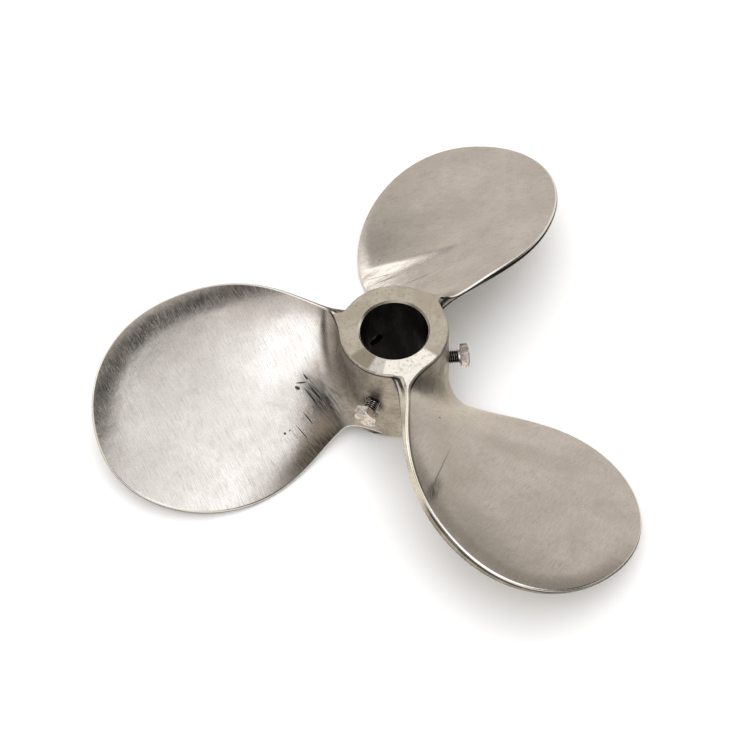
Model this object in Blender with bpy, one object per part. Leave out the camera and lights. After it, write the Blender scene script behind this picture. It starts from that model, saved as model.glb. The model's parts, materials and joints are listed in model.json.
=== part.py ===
"""Three-blade mixing impeller: one casting and the hex-head set screws in its hub.

Metres, +Z up along the bore. The origin is on the bore's axis, in the hub's lower end face.
The blades are left-handed screw surfaces: seen from above, turning clockwise, they push downwards.
"""

import math

import bmesh
import bpy
from mathutils import Matrix, Vector
from mathutils.geometry import interpolate_bezier

MM = 0.001

# Hub
HUB_LENGTH = 65 * MM
HUB_RADIUS = 30.5 * MM
BORE_RADIUS = 19 * MM
BORE_CHAMFER = 1.2 * MM
HUB_SIDES = 96

# Blades. The pitch is the height that the screw surface climbs in one turn.
BLADE_AZIMUTHS = (90, 210, 330)
PITCH = 322 * MM
AXIS_HEIGHT = 27 * MM
RAKE = -0.070
RAKE_RADIUS = 100 * MM
BLADE_THICKNESS = 5 * MM
RIM_ROUNDING = 1.4 * MM
RIM_FACE_SHARE = 0.45
ROOT_RADIUS = 25 * MM
ROOT_FILLET = 13 * MM
FILLET_FOOT_RADIUS = HUB_RADIUS - 1.0 * MM

# A blade seen from above, from hub to tip: its leading edge, then its trailing edge.
# X runs out along the blade and Y against the clock. Each row is one Bezier piece.
LEADING_EDGE = (
    ((28.0, -21.0), (48.5, -35.0), (66.0, -66.2), (113.0, -66.2)),
    ((113.0, -66.2), (149.0, -66.2), (174.2, -42.5), (174.2, -6.5)),
)
TRAILING_EDGE = (
    ((28.0, 15.5), (50.0, 24.5), (71.0, 52.0), (109.0, 52.0)),
    ((109.0, 52.0), (141.0, 52.0), (174.2, 31.5), (174.2, -6.5)),
)
OUTLINE_SAMPLES = 60

# Facing cuts on the hub's two ends, which also trim the fillets
FACING_RADIUS_TOP = 60 * MM
FACING_RADIUS_BOTTOM = 38 * MM
FACING_HEIGHT = 40 * MM
FACING_ALLOWANCE = 3 * MM

# Set screws, M8. The turn of each head is that of one of its corners, up from the level
# direction against the clock.
SCREWS = (
    {"place": "front", "azimuth": 260.5, "turn": 24},
    {"place": "right", "azimuth": 20.5, "turn": 53},
    {"place": "rear", "azimuth": 140.5, "turn": 42},
)
SCREW_HEIGHT = HUB_LENGTH / 2
SHANK_RADIUS = 4 * MM
SHANK_LENGTH = 16 * MM
HEAD_ACROSS_FLATS = 13 * MM
HEAD_HEIGHT = 5.3 * MM
HEAD_UNDERSIDE_RADIUS = 36.7 * MM
SCREW_TIP_CHAMFER = 0.8 * MM
HEAD_CHAMFER = 0.9 * MM
HEAD_FACE_SHARE = 0.95
HEAD_BLANK_ALLOWANCE = 1 * MM
TAPPED_HOLE_RADIUS = 4.3 * MM

# Mesh steps
BLADE_STATIONS = 24
BLADE_COLUMNS = 18
FILLET_STEPS = 6
SCREW_SIDES = 24


def clear_scene():
    for obj in list(bpy.data.objects):
        bpy.data.objects.remove(obj, do_unlink=True)


def metal(name, colour, roughness):
    """A bare metal material."""
    material = bpy.data.materials.new(name)
    material.use_nodes = True
    shader = material.node_tree.nodes["Principled BSDF"]
    shader.inputs["Base Color"].default_value = (*colour, 1.0)
    shader.inputs["Roughness"].default_value = roughness
    shader.inputs["Metallic"].default_value = 1.0
    material.diffuse_color = (*colour, 1.0)
    return material


def new_object(name, mesh_builder, material=None):
    """An object whose mesh is the closed surface that mesh_builder leaves in a bmesh."""
    bm = bmesh.new()
    mesh_builder(bm)
    bmesh.ops.recalc_face_normals(bm, faces=bm.faces)
    mesh = bpy.data.meshes.new(name)
    bm.to_mesh(mesh)
    bm.free()
    if material is not None:
        mesh.materials.append(material)
    obj = bpy.data.objects.new(name, mesh)
    bpy.context.scene.collection.objects.link(obj)
    return obj


def as_cutter(obj):
    """Keep an object only as a tool of Boolean modifiers."""
    obj.hide_render = True
    obj.display_type = "WIRE"
    return obj


def boolean(obj, tool, operation):
    modifier = obj.modifiers.new(tool.name, "BOOLEAN")
    modifier.operation = operation
    modifier.solver = "EXACT"
    modifier.object = tool


def turned_profile(bm, profile, sides):
    """A solid of revolution about Z from (radius, height) pairs, closed by flat ends."""
    rings = []
    for radius, height in profile:
        angles = [2 * math.pi * k / sides for k in range(sides)]
        rings.append([bm.verts.new((radius * math.cos(a), radius * math.sin(a), height)) for a in angles])
    for lower, upper in zip(rings, rings[1:]):
        for k in range(sides):
            bm.faces.new((lower[k], lower[(k + 1) % sides], upper[(k + 1) % sides], upper[k]))
    bm.faces.new(rings[0])
    bm.faces.new(rings[-1])


# Blade

def edge_curve(pieces):
    """Points of a blade edge from hub to tip, as (radius, angle) about the bore's axis."""
    points = []
    for piece in pieces:
        controls = [Vector((x * MM, y * MM)) for x, y in piece]
        points += interpolate_bezier(*controls, OUTLINE_SAMPLES)
    return [(p.length, math.atan2(p.y, p.x)) for p in points]


def blade_outline():
    """The edges' points up to and past the blade's furthest radius, split there."""
    leading = edge_curve(LEADING_EDGE)
    trailing = edge_curve(TRAILING_EDGE)
    loop = leading + trailing[::-1]
    furthest = max(range(len(loop)), key=lambda i: loop[i][0])
    return loop[:furthest + 1], loop[furthest:][::-1]


def angle_at(edge, radius):
    """The edge's angle at a radius, between its nearest points."""
    for (r0, a0), (r1, a1) in zip(edge, edge[1:]):
        if r0 <= radius <= r1 and r1 > r0:
            return a0 + (a1 - a0) * (radius - r0) / (r1 - r0)
    return edge[0][1] if radius < edge[0][0] else edge[-1][1]


def root_flare(radius):
    """How far the fillet to the hub's wall stands off each face of the blade."""
    distance = min(max(radius - FILLET_FOOT_RADIUS, 0), ROOT_FILLET)
    across = 1 - distance / ROOT_FILLET
    return ROOT_FILLET * (1 - math.sqrt(1 - across * across))


def blade_point(radius, angle, depth):
    """A point this deep under the blade's upper face, measured square to the screw surface."""
    climb = PITCH / (2 * math.pi)
    slope = math.hypot(climb, radius)
    height = AXIS_HEIGHT - climb * angle + RAKE * (radius - RAKE_RADIUS)
    angle -= depth * climb / (radius * slope)
    height -= depth * radius / slope
    return Vector((radius * math.cos(angle), radius * math.sin(angle), height))


def station_radii(tip_radius):
    """Radii of the blade's sections: the root, the fillet's steps, then closer towards the tip."""
    radii = [ROOT_RADIUS]
    for k in range(FILLET_STEPS + 1):
        turn = math.pi / 2 * (1 - k / FILLET_STEPS)
        radii.append(FILLET_FOOT_RADIUS + ROOT_FILLET * (1 - math.sin(turn)))
    fillet_end = radii[-1]
    rim_start = tip_radius - RIM_ROUNDING
    for k in range(1, BLADE_STATIONS + 1):
        share = math.sin(math.pi / 2 * k / BLADE_STATIONS)
        radii.append(fillet_end + (rim_start - fillet_end) * share)
    return radii


def blade_columns(chord):
    """Shares of the chord, with one narrow column for the rounding of each edge."""
    rim = min(RIM_ROUNDING / chord, 0.2)
    inner = [rim + (1 - 2 * rim) * k / BLADE_COLUMNS for k in range(BLADE_COLUMNS + 1)]
    return [0.0] + inner + [1.0]


def build_blade(bm):
    """One blade with its flared root, along +X. Sections are cuts at a constant radius."""
    leading, trailing = blade_outline()
    tip_radius, tip_angle = leading[-1]
    sections = []
    for radius in station_radii(tip_radius):
        start, end = angle_at(leading, radius), angle_at(trailing, radius)
        shares = blade_columns(radius * (end - start))
        flare = root_flare(radius)
        upper, lower = [], []
        for share in shares:
            angle = start + (end - start) * share
            inset = 0 if 0 < share < 1 else (1 - RIM_FACE_SHARE) / 2 * BLADE_THICKNESS
            upper.append(bm.verts.new(blade_point(radius, angle, inset - flare)))
            lower.append(bm.verts.new(blade_point(radius, angle, BLADE_THICKNESS - inset + flare)))
        sections.append(upper + lower[::-1])
    count = len(sections[0])
    for inner, outer in zip(sections, sections[1:]):
        for k in range(count):
            bm.faces.new((inner[k], inner[(k + 1) % count], outer[(k + 1) % count], outer[k]))
    root = sections[0]
    for k in range(count // 2 - 1):
        bm.faces.new((root[k], root[k + 1], root[count - 2 - k], root[count - 1 - k]))
    tip = bm.verts.new(blade_point(tip_radius, tip_angle, BLADE_THICKNESS / 2))
    last = sections[-1]
    for k in range(len(last)):
        bm.faces.new((last[k], last[(k + 1) % len(last)], tip))


# Hub and its cuts

def build_hub(bm):
    """The hub as cast, still long at both ends."""
    bottom, top = -FACING_ALLOWANCE, HUB_LENGTH + FACING_ALLOWANCE
    turned_profile(bm, [(HUB_RADIUS, bottom), (HUB_RADIUS, top)], HUB_SIDES)


def build_bore(bm):
    """The bore's cutter, wider at both mouths for their chamfers."""
    mouth = BORE_RADIUS + BORE_CHAMFER
    profile = [
        (mouth + BORE_CHAMFER, -BORE_CHAMFER),
        (BORE_RADIUS, BORE_CHAMFER),
        (BORE_RADIUS, HUB_LENGTH - BORE_CHAMFER),
        (mouth + BORE_CHAMFER, HUB_LENGTH + BORE_CHAMFER),
    ]
    turned_profile(bm, profile, HUB_SIDES)


def build_top_facing(bm):
    radius = FACING_RADIUS_TOP
    turned_profile(bm, [(radius, HUB_LENGTH), (radius, HUB_LENGTH + FACING_HEIGHT)], HUB_SIDES)


def build_bottom_facing(bm):
    radius = FACING_RADIUS_BOTTOM
    turned_profile(bm, [(radius, -FACING_HEIGHT), (radius, 0)], HUB_SIDES)


def build_tapped_hole(bm):
    """The cutter of a tapped hole along +Z, from inside the bore to outside the hub."""
    inner, outer = BORE_RADIUS / 2, HUB_RADIUS + ROOT_FILLET
    turned_profile(bm, [(TAPPED_HOLE_RADIUS, inner), (TAPPED_HOLE_RADIUS, outer)], SCREW_SIDES)


def radial_placement(azimuth):
    """Turns +Z to point out of the hub at an azimuth, at the set screws' height."""
    turn = Matrix.Rotation(math.radians(azimuth), 4, "Z") @ Matrix.Rotation(math.pi / 2, 4, "Y")
    return Matrix.Translation((0, 0, SCREW_HEIGHT)) @ turn


def make_casting(material):
    casting = new_object("impeller_casting", build_hub, material)
    for azimuth in BLADE_AZIMUTHS:
        blade = as_cutter(new_object(f"blade_at_{azimuth}", build_blade))
        blade.rotation_euler.z = math.radians(azimuth)
        boolean(casting, blade, "UNION")
    for name, builder in (("top_facing", build_top_facing), ("bottom_facing", build_bottom_facing),
                          ("bore", build_bore)):
        boolean(casting, as_cutter(new_object(name, builder)), "DIFFERENCE")
    for screw in SCREWS:
        hole = as_cutter(new_object(f"tapped_hole_{screw['place']}", build_tapped_hole))
        hole.matrix_world = radial_placement(screw["azimuth"])
        boolean(casting, hole, "DIFFERENCE")
    return casting


# Set screws

def build_shank(bm):
    tip = HEAD_UNDERSIDE_RADIUS - SHANK_LENGTH
    overlap = HEAD_UNDERSIDE_RADIUS + HEAD_HEIGHT / 2
    profile = [
        (SHANK_RADIUS - SCREW_TIP_CHAMFER, tip),
        (SHANK_RADIUS, tip + SCREW_TIP_CHAMFER),
        (SHANK_RADIUS, overlap),
    ]
    turned_profile(bm, profile, SCREW_SIDES)


def build_hex_prism(bm):
    corner = HEAD_ACROSS_FLATS / math.sqrt(3)
    top = HEAD_UNDERSIDE_RADIUS + HEAD_HEIGHT
    turned_profile(bm, [(corner, HEAD_UNDERSIDE_RADIUS), (corner, top)], 6)


def build_head_blank(bm):
    """The round blank that leaves the chamfer at the head's corners."""
    corner = HEAD_ACROSS_FLATS / math.sqrt(3) + HEAD_BLANK_ALLOWANCE
    base = HEAD_UNDERSIDE_RADIUS - HEAD_BLANK_ALLOWANCE
    top = HEAD_UNDERSIDE_RADIUS + HEAD_HEIGHT
    profile = [
        (corner, base),
        (corner, top - HEAD_CHAMFER),
        (HEAD_ACROSS_FLATS / 2 * HEAD_FACE_SHARE, top),
    ]
    turned_profile(bm, profile, 2 * SCREW_SIDES)


def make_set_screw(place, azimuth, turn, material, head_blank, shank):
    """One set screw, with its own axis along its object's Z."""
    screw = new_object(f"set_screw_{place}", build_hex_prism, material)
    # A corner lies along local X, which the placement alone turns to point straight down
    screw.matrix_world = radial_placement(azimuth) @ Matrix.Rotation(math.radians(90 + turn), 4, "Z")
    for tool, operation in ((head_blank, "INTERSECT"), (shank, "UNION")):
        placed = as_cutter(bpy.data.objects.new(f"{tool.name}_{place}", tool.data))
        bpy.context.scene.collection.objects.link(placed)
        placed.matrix_world = radial_placement(azimuth)
        boolean(screw, placed, operation)
    return screw


def shade(obj):
    """Smooth on the round surfaces and sharp at the corners."""
    obj.data.shade_smooth()
    obj.data.set_sharp_from_angle(angle=math.radians(35))


def main():
    clear_scene()
    cast_steel = metal("cast_steel", (0.56, 0.52, 0.48), 0.35)
    screw_steel = metal("screw_steel", (0.42, 0.39, 0.35), 0.4)
    shade(make_casting(cast_steel))
    head_blank = as_cutter(new_object("head_blank", build_head_blank))
    shank = as_cutter(new_object("shank", build_shank))
    for screw in SCREWS:
        place, azimuth, turn = screw["place"], screw["azimuth"], screw["turn"]
        shade(make_set_screw(place, azimuth, turn, screw_steel, head_blank, shank))


main()
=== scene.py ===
"""Looks of the three-blade mixing impeller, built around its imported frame.

Metres, +Z up along the bore, origin in the hub's lower end face, as in the frame.
The casting is one closed mesh: three bladed sections, the hub's wall, two faced ends, the bore
and three tapped holes. Each set screw is a mesh of its own with a real thread.
"""

import json
import math

import bmesh
import bpy
import numpy as np
from mathutils import Matrix, Vector, noise
from mathutils.geometry import delaunay_2d_cdt, interpolate_bezier

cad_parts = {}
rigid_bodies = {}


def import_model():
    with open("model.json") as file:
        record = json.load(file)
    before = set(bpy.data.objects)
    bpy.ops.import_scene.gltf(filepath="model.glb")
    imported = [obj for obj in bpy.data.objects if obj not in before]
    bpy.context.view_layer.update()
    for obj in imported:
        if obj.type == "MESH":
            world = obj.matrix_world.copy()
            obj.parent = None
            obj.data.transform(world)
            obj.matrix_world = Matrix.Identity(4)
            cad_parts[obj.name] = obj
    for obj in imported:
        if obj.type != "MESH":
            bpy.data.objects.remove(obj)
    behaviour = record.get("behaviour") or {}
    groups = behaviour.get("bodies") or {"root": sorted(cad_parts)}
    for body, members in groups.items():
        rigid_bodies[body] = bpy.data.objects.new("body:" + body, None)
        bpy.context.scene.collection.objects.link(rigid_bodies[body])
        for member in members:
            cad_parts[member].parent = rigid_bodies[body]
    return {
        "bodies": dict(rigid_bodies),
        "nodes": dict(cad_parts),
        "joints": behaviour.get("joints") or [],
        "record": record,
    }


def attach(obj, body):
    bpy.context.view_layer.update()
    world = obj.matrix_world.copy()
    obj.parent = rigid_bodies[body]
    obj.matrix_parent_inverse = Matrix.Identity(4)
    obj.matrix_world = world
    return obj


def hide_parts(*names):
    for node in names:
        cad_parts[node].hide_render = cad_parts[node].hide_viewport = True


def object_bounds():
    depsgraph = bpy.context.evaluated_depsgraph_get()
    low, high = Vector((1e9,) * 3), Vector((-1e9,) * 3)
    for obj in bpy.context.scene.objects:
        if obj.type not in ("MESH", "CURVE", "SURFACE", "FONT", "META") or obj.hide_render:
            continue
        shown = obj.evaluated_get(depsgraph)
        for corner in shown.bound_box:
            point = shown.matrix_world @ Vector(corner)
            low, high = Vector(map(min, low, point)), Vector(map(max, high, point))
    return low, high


MM = 0.001

# Hub
HUB_LENGTH = 65 * MM
HUB_RADIUS = 30.5 * MM
BORE_RADIUS = 19 * MM
BORE_CHAMFER = 1.0 * MM
TOP_ROUNDING = 1.1 * MM
BOTTOM_ROUNDING = 0.9 * MM
WALL_OVERRUN = 22 * MM
# The wall's sectors start at a seam and are laid out flat around a centre, by blade azimuth
SEAM_TURN = -16
CENTRE_TURN = 8

# Blades
PITCH = 322 * MM
CLIMB = PITCH / (2 * math.pi)
AXIS_HEIGHT = 27 * MM
RAKE = -0.070
RAKE_RADIUS = 100 * MM
BLADE_THICKNESS = 5 * MM
ROOT_FILLET = 13 * MM
FILLET_REACH = HUB_RADIUS + ROOT_FILLET
ROOT_REACH = FILLET_REACH - ROOT_FILLET * math.pi / 2
LEADING_FLARE = 2.0 * MM
NARROW_FILLET = 0.12
FILLET_GROWTH = 18 * MM
FALL_START = 30 * MM
ROOT_BEND = 6 * MM
UPPER_ROUNDING = 1.3 * MM
LOWER_ROUNDING = 1.1 * MM

# A blade seen from above, from hub to tip: its leading edge, then its trailing edge.
# X runs out along the blade and Y against the clock. Each row is one Bezier piece, in millimetres.
LEADING_EDGE = (
    ((28.0, -21.0), (48.5, -35.0), (66.0, -66.2), (113.0, -66.2)),
    ((113.0, -66.2), (149.0, -66.2), (174.2, -42.5), (174.2, -6.5)),
)
TRAILING_EDGE = (
    ((28.0, 15.5), (50.0, 24.5), (71.0, 52.0), (109.0, 52.0)),
    ((109.0, 52.0), (141.0, 52.0), (174.2, 31.5), (174.2, -6.5)),
)

# Set screws, M8
SCREW_HEIGHT = HUB_LENGTH / 2
SHANK_RADIUS = 4 * MM
SHANK_LENGTH = 16 * MM
THREAD_PITCH = 1.25 * MM
THREAD_DEPTH = 0.75 * MM
THREAD_RUNOUT = 1.0 * MM
CREST_FLAT = 0.125
ROOT_FLAT = 0.25
SCREW_TIP_CHAMFER = 0.8 * MM
HEAD_ACROSS_FLATS = 13 * MM
HEAD_HEIGHT = 5.3 * MM
HEAD_ROUNDING = 0.3 * MM
HEAD_CHAMFER_RADIUS = 5.9 * MM
HEAD_CHAMFER_SLOPE = 0.5
WASHER_FACE_RADIUS = 5.8 * MM
WASHER_FACE_HEIGHT = 0.35 * MM
HEAD_WEAR = 0.12 * MM
WEAR_FREQUENCY = 350
SHARP_ANGLE = 50
HEAD_UNDERSIDE_RADIUS = 36.7 * MM
TAPPED_HOLE_RADIUS = 4.3 * MM
HOLE_COUNTERSINK = 0.5 * MM

# Mesh steps
RIM_STEP = 1.3 * MM
FACE_STEP = 1.8 * MM
WALL_STEP = 1.5 * MM
ARC_STEPS = 6
EDGE_STEPS = 6
ROUNDING_ROWS = 6
HOLE_SIDES = 36
FLARE_STEPS = 24
BORE_ROWS = 40
BEZIER_SAMPLES = 80
THREAD_ROWS = 10
SIDE_STEPS = 6
CORNER_STEPS = 4

# The top, left and lower blade, as the camera sees them. They are ground by hand, so each differs
# a little. Lumps rise above the upper face and swellings thicken the blade downwards: x and y on
# the blade, spread and height, in millimetres. The face falls this far towards the rim, over this
# width. The trailing edge flares into the wall. A dish is ground into the upper face: its depth,
# and the borders that it lies left of, each with x, y, direction in degrees and width.
BLADES = (
    {
        "azimuth": 90, "hole": 140.5, "rim_fall": (1.0, 10), "trailing_flare": 6,
        "dish": (1.4, ((78, 20, 101, 9), (67, -8, -32, 16), (60, 42, 180, 9))),
        "lumps": ((36, -25, 12, -2.0),),
        "swellings": ((105, -62, 40, -1.3),),
    },
    {
        "azimuth": 210, "hole": 260.5, "rim_fall": (1.7, 18), "trailing_flare": 11,
        "dish": (0, ()),
        "lumps": ((36, -25, 12, -0.8),),
        "swellings": (),
    },
    {
        "azimuth": 330, "hole": 20.5, "rim_fall": (1.0, 10), "trailing_flare": 6,
        "dish": (0, ()),
        "lumps": ((36, -25, 12, 2.0),),
        "swellings": ((108, -66, 30, 2.0), (172, -15, 35, -1.6)),
    },
)
# The turn of each head is that of one of its corners, up from the level direction against the clock
SCREWS = (
    {"place": "front", "azimuth": 260.5, "turn": 24},
    {"place": "right", "azimuth": 20.5, "turn": 53},
    {"place": "rear", "azimuth": 140.5, "turn": 42},
)

# A place across a blade's rim is how far inside it a point of the upper face lies. It is less
# than zero down the edge and on the lower face.
FAR_FROM_RIM = 100 * MM

# Zones of the casting's faces
SKIN, FACED, BORE, MOUTH, HOLE = range(5)
MATERIAL_OF_ZONE = (0, 1, 2, 1, 2)

# Camera
CAMERA_POSITION = (165.0 * MM, -549.0 * MM, 905.5 * MM)
CAMERA_HEADING = 18.16
CAMERA_TILT = 33.06
CAMERA_ROLL = -3.25
SENSOR_WIDTH = 36.0
LENS = 89.29
CLIP_START = 0.05


def unit(vectors):
    return vectors / np.linalg.norm(vectors, axis=-1, keepdims=True)


def smooth_step(values):
    values = np.clip(values, 0, 1)
    return values * values * (3 - 2 * values)


# Triangulated patches

def inside(points, loops):
    """Which points lie inside the loops, counted by the edges that a ray crosses."""
    crossings = np.zeros(len(points), int)
    for loop in loops:
        start, end = loop, np.roll(loop, -1, axis=0)
        for (x0, y0), (x1, y1) in zip(start, end):
            spans = (points[:, 1] < y0) != (points[:, 1] < y1)
            if y0 != y1:
                crossings += spans & (points[:, 0] < x0 + (points[:, 1] - y0) * (x1 - x0) / (y1 - y0))
    return crossings % 2 == 1


def hexagonal_grid(low, high, step):
    rows = np.arange(low[1], high[1], step * math.sqrt(3) / 2)
    columns = np.arange(low[0], high[0], step)
    x, y = np.meshgrid(columns, rows)
    x = x + np.where(np.arange(len(rows)) % 2, step / 2, 0)[:, None]
    return np.column_stack((x.ravel(), y.ravel()))


def clear_of(points, others, distance):
    """The points that keep a distance from all the others."""
    keep = np.ones(len(points), bool)
    for other in others:
        keep &= ((points - other) ** 2).sum(axis=1) > distance * distance
    return points[keep]


def bent(points):
    """Flat points bent a little, so that no straight border leaves a triangle without area."""
    return points + points[:, ::-1] ** 2


def triangulate(loops, step):
    """Fill the first loop, less the others, and return the new inner points and the triangles.

    Triangles count through the loops' points first and the new points after them.
    """
    border = np.vstack(loops)
    grid = hexagonal_grid(border.min(axis=0), border.max(axis=0), step)
    grid = clear_of(grid[inside(grid, loops)], border, 0.6 * step)
    points = bent(np.vstack((border, grid)))
    edges, first = [], 0
    for loop in loops:
        count = len(loop)
        edges += [(first + k, first + (k + 1) % count) for k in range(count)]
        first += count
    scale = 1 / step
    result = delaunay_2d_cdt([Vector(p * scale) for p in points], edges, [], 0, 1e-6)
    origin = [ids[0] for ids in result[3]]
    triangles = np.array([[origin[v] for v in face] for face in result[2]])
    middles = points[triangles].mean(axis=1)
    return grid, triangles[inside(middles, [bent(loop) for loop in loops])]


class Shell:
    """Points with normals and places across the rim, and faces with zones, of one surface."""

    def __init__(self):
        self.points = []
        self.normals = []
        self.rims = []
        self.faces = []
        self.zones = []

    def add_points(self, points, normals, rims=FAR_FROM_RIM):
        first = len(self.points)
        self.points += [tuple(p) for p in points]
        self.normals += [tuple(n) for n in normals]
        self.rims += list(np.broadcast_to(rims, len(points)))
        return np.arange(first, len(self.points))

    def add_faces(self, faces, zone=SKIN):
        self.faces += [tuple(int(v) for v in face) for face in faces]
        self.zones += [zone] * len(faces)

    def add_band(self, first, second, zone=SKIN, closed=False):
        """Quads between two rows of as many points."""
        count = len(first)
        for k in range(count if closed else count - 1):
            after = (k + 1) % count
            self.add_faces([(first[k], first[after], second[after], second[k])], zone)

    def add_patch(self, indices, loops, step, lift, zone=SKIN):
        """A triangulated patch whose border loops are points that exist already."""
        grid, triangles = triangulate(loops, step)
        known = np.concatenate(indices)
        fresh = self.add_points(*lift(grid)) if len(grid) else np.zeros(0, int)
        self.add_faces(np.concatenate((known, fresh))[triangles], zone)


# Blade surfaces, each blade along +X in its own frame

def mounds(places, radius, angle):
    """The summed height of round mounds at places on a blade."""
    x, y = radius * np.cos(angle), radius * np.sin(angle)
    height = np.zeros_like(x)
    for place_x, place_y, spread, rise in places:
        squared = (x - place_x * MM) ** 2 + (y - place_y * MM) ** 2
        height = height + rise * MM * np.exp(-squared / (2 * (spread * MM) ** 2))
    return height


def dish(blade, radius, angle):
    """How far the face is ground down inside the blade's dish, which lies left of all its borders."""
    depth, borders = blade["dish"]
    x, y = radius * np.cos(angle) / MM, radius * np.sin(angle) / MM
    fall = np.full_like(x, depth * MM)
    for border_x, border_y, direction, width in borders:
        direction = math.radians(direction)
        across = (y - border_y) * math.cos(direction) - (x - border_x) * math.sin(direction)
        fall = fall * smooth_step(across / width + 0.5)
    return fall


def thickness(blade, radius, angle):
    return BLADE_THICKNESS + mounds(blade["swellings"], radius, angle)


def rim_distance(outline, reach, angle):
    """How far points of a blade's face lie from its outline."""
    stretch = np.hypot(at_reach(reach)[0], CLIMB)[:, None]
    start, end = outline[:-1], outline[1:]
    along_reach, along_angle = end[:, 0] - start[:, 0], (end[:, 1] - start[:, 1]) * stretch
    from_reach = reach[:, None] - start[:, 0]
    from_angle = (angle[:, None] - start[:, 1]) * stretch
    share = from_reach * along_reach + from_angle * along_angle
    share = np.clip(share / (along_reach ** 2 + along_angle ** 2), 0, 1)
    gap = np.hypot(from_reach - share * along_reach, from_angle - share * along_angle)
    return gap.min(axis=1)


def upper_relief(blade, reach, radius, angle):
    """How far the upper face lies under the true screw surface: it falls away towards the rim."""
    inside_rim = rim_distance(blade["outline"], reach, angle)
    depth, width = blade["rim_fall"]
    fall = depth * MM * np.clip(1 - inside_rim / (width * MM), 0, 1) ** 2
    fall = fall * smooth_step((radius - HUB_RADIUS) / FALL_START)
    return fall + dish(blade, radius, angle) - mounds(blade["lumps"], radius, angle)


def blade_point(radius, angle, depth):
    """A point this deep under the blade's upper face, measured square to the screw surface."""
    slope = np.hypot(CLIMB, radius)
    height = AXIS_HEIGHT - CLIMB * angle + RAKE * (radius - RAKE_RADIUS)
    angle = angle - depth * CLIMB / (radius * slope)
    height = height - depth * radius / slope
    return np.stack((radius * np.cos(angle), radius * np.sin(angle), height), axis=-1)


def at_reach(reach):
    """Radius and fillet flare at a reach, which is the length run along the blade and its fillet."""
    turn = np.clip((FILLET_REACH - reach) / ROOT_FILLET, 0, math.pi / 2)
    radius = np.where(turn > 0, HUB_RADIUS + ROOT_FILLET * (1 - np.sin(turn)), reach)
    return radius, ROOT_FILLET * (1 - np.cos(turn))


def reach_of(radius):
    turn = np.arcsin(np.clip(1 - (radius - HUB_RADIUS) / ROOT_FILLET, 0, 1))
    return np.where(radius < FILLET_REACH, FILLET_REACH - ROOT_FILLET * turn, radius)


def upper_face(blade, reach, angle, depth=0.0):
    radius, flare = at_reach(reach)
    relief = upper_relief(blade, reach, radius, angle)
    return blade_point(radius, angle, depth + relief - flare)


def lower_flare(flare, angle):
    """The lower face's fillet, which narrows towards the leading edge's root."""
    leading_root = math.atan2(LEADING_EDGE[0][0][1], LEADING_EDGE[0][0][0])
    from_edge = (angle - leading_root) * math.hypot(CLIMB, HUB_RADIUS)
    return flare * (NARROW_FILLET + (1 - NARROW_FILLET) * smooth_step(from_edge / FILLET_GROWTH))


def lower_face(blade, reach, angle, depth=0.0):
    radius, flare = at_reach(reach)
    return blade_point(radius, angle, thickness(blade, radius, angle) + lower_flare(flare, angle) - depth)


def surface_normals(face, blade, reach, angle, sign):
    step = 0.01 * MM
    swing = step / HUB_RADIUS
    along = face(blade, reach + step, angle) - face(blade, reach - step, angle)
    across = face(blade, reach, angle + swing) - face(blade, reach, angle - swing)
    return sign * unit(np.cross(along, across))


def edge_curve(pieces, flare, sign):
    """An edge from the hub's wall to the tip as (reach, angle), flared where it meets the wall."""
    points = []
    for piece in pieces:
        controls = [Vector((x * MM, y * MM)) for x, y in piece]
        points += interpolate_bezier(*controls, BEZIER_SAMPLES)
    radius = np.array([p.length for p in points])
    angle = np.array([math.atan2(p.y, p.x) for p in points])
    turn = np.linspace(math.pi / 2, 0, FLARE_STEPS)
    root_radius = HUB_RADIUS + flare * (1 - np.sin(turn))
    rising = radius[:int(radius.argmax()) + 1]
    root_angle = np.interp(root_radius, rising, angle[:len(rising)])
    root_angle = root_angle + sign * flare * (1 - np.cos(turn)) / np.hypot(CLIMB, root_radius)
    outer = radius > root_radius[-1] + 0.2 * MM
    outer |= np.arange(len(radius)) > len(radius) // 2
    radius = np.concatenate((root_radius, radius[outer]))
    angle = np.concatenate((root_angle, angle[outer]))
    return np.column_stack((reach_of(radius), angle))


def metric(points):
    """The length of one radian on the screw surface at each point's reach."""
    return np.hypot(at_reach(points[:, 0])[0], CLIMB)


def blade_outline(trailing_flare):
    """The blade's outline from its leading root round the tip to its trailing root, evenly spaced."""
    leading = edge_curve(LEADING_EDGE, LEADING_FLARE, -1)
    trailing = edge_curve(TRAILING_EDGE, trailing_flare, 1)
    curve = np.vstack((leading, trailing[-2::-1]))
    middle = (curve[1:] + curve[:-1]) / 2
    steps = np.hypot(np.diff(curve[:, 0]), np.diff(curve[:, 1]) * metric(middle))
    length = np.concatenate(([0], np.cumsum(steps)))
    places = np.linspace(0, length[-1], int(length[-1] / RIM_STEP))
    return np.column_stack([np.interp(places, length, curve[:, k]) for k in (0, 1)])


def inward_steps(outline):
    """What one metre inwards across the rim adds to (reach, angle), at each outline point."""
    stretch = metric(outline)
    tangent = np.gradient(outline, axis=0) * np.column_stack((np.ones(len(outline)), stretch))
    tangent = unit(tangent)
    inward = np.column_stack((-tangent[:, 1], tangent[:, 0]))
    above_wall = smooth_step((outline[:, 0] - ROOT_REACH) / ROOT_BEND)
    inward = unit(inward * np.column_stack((above_wall, np.ones(len(outline)))))
    return inward / np.column_stack((np.ones(len(outline)), stretch))


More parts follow.
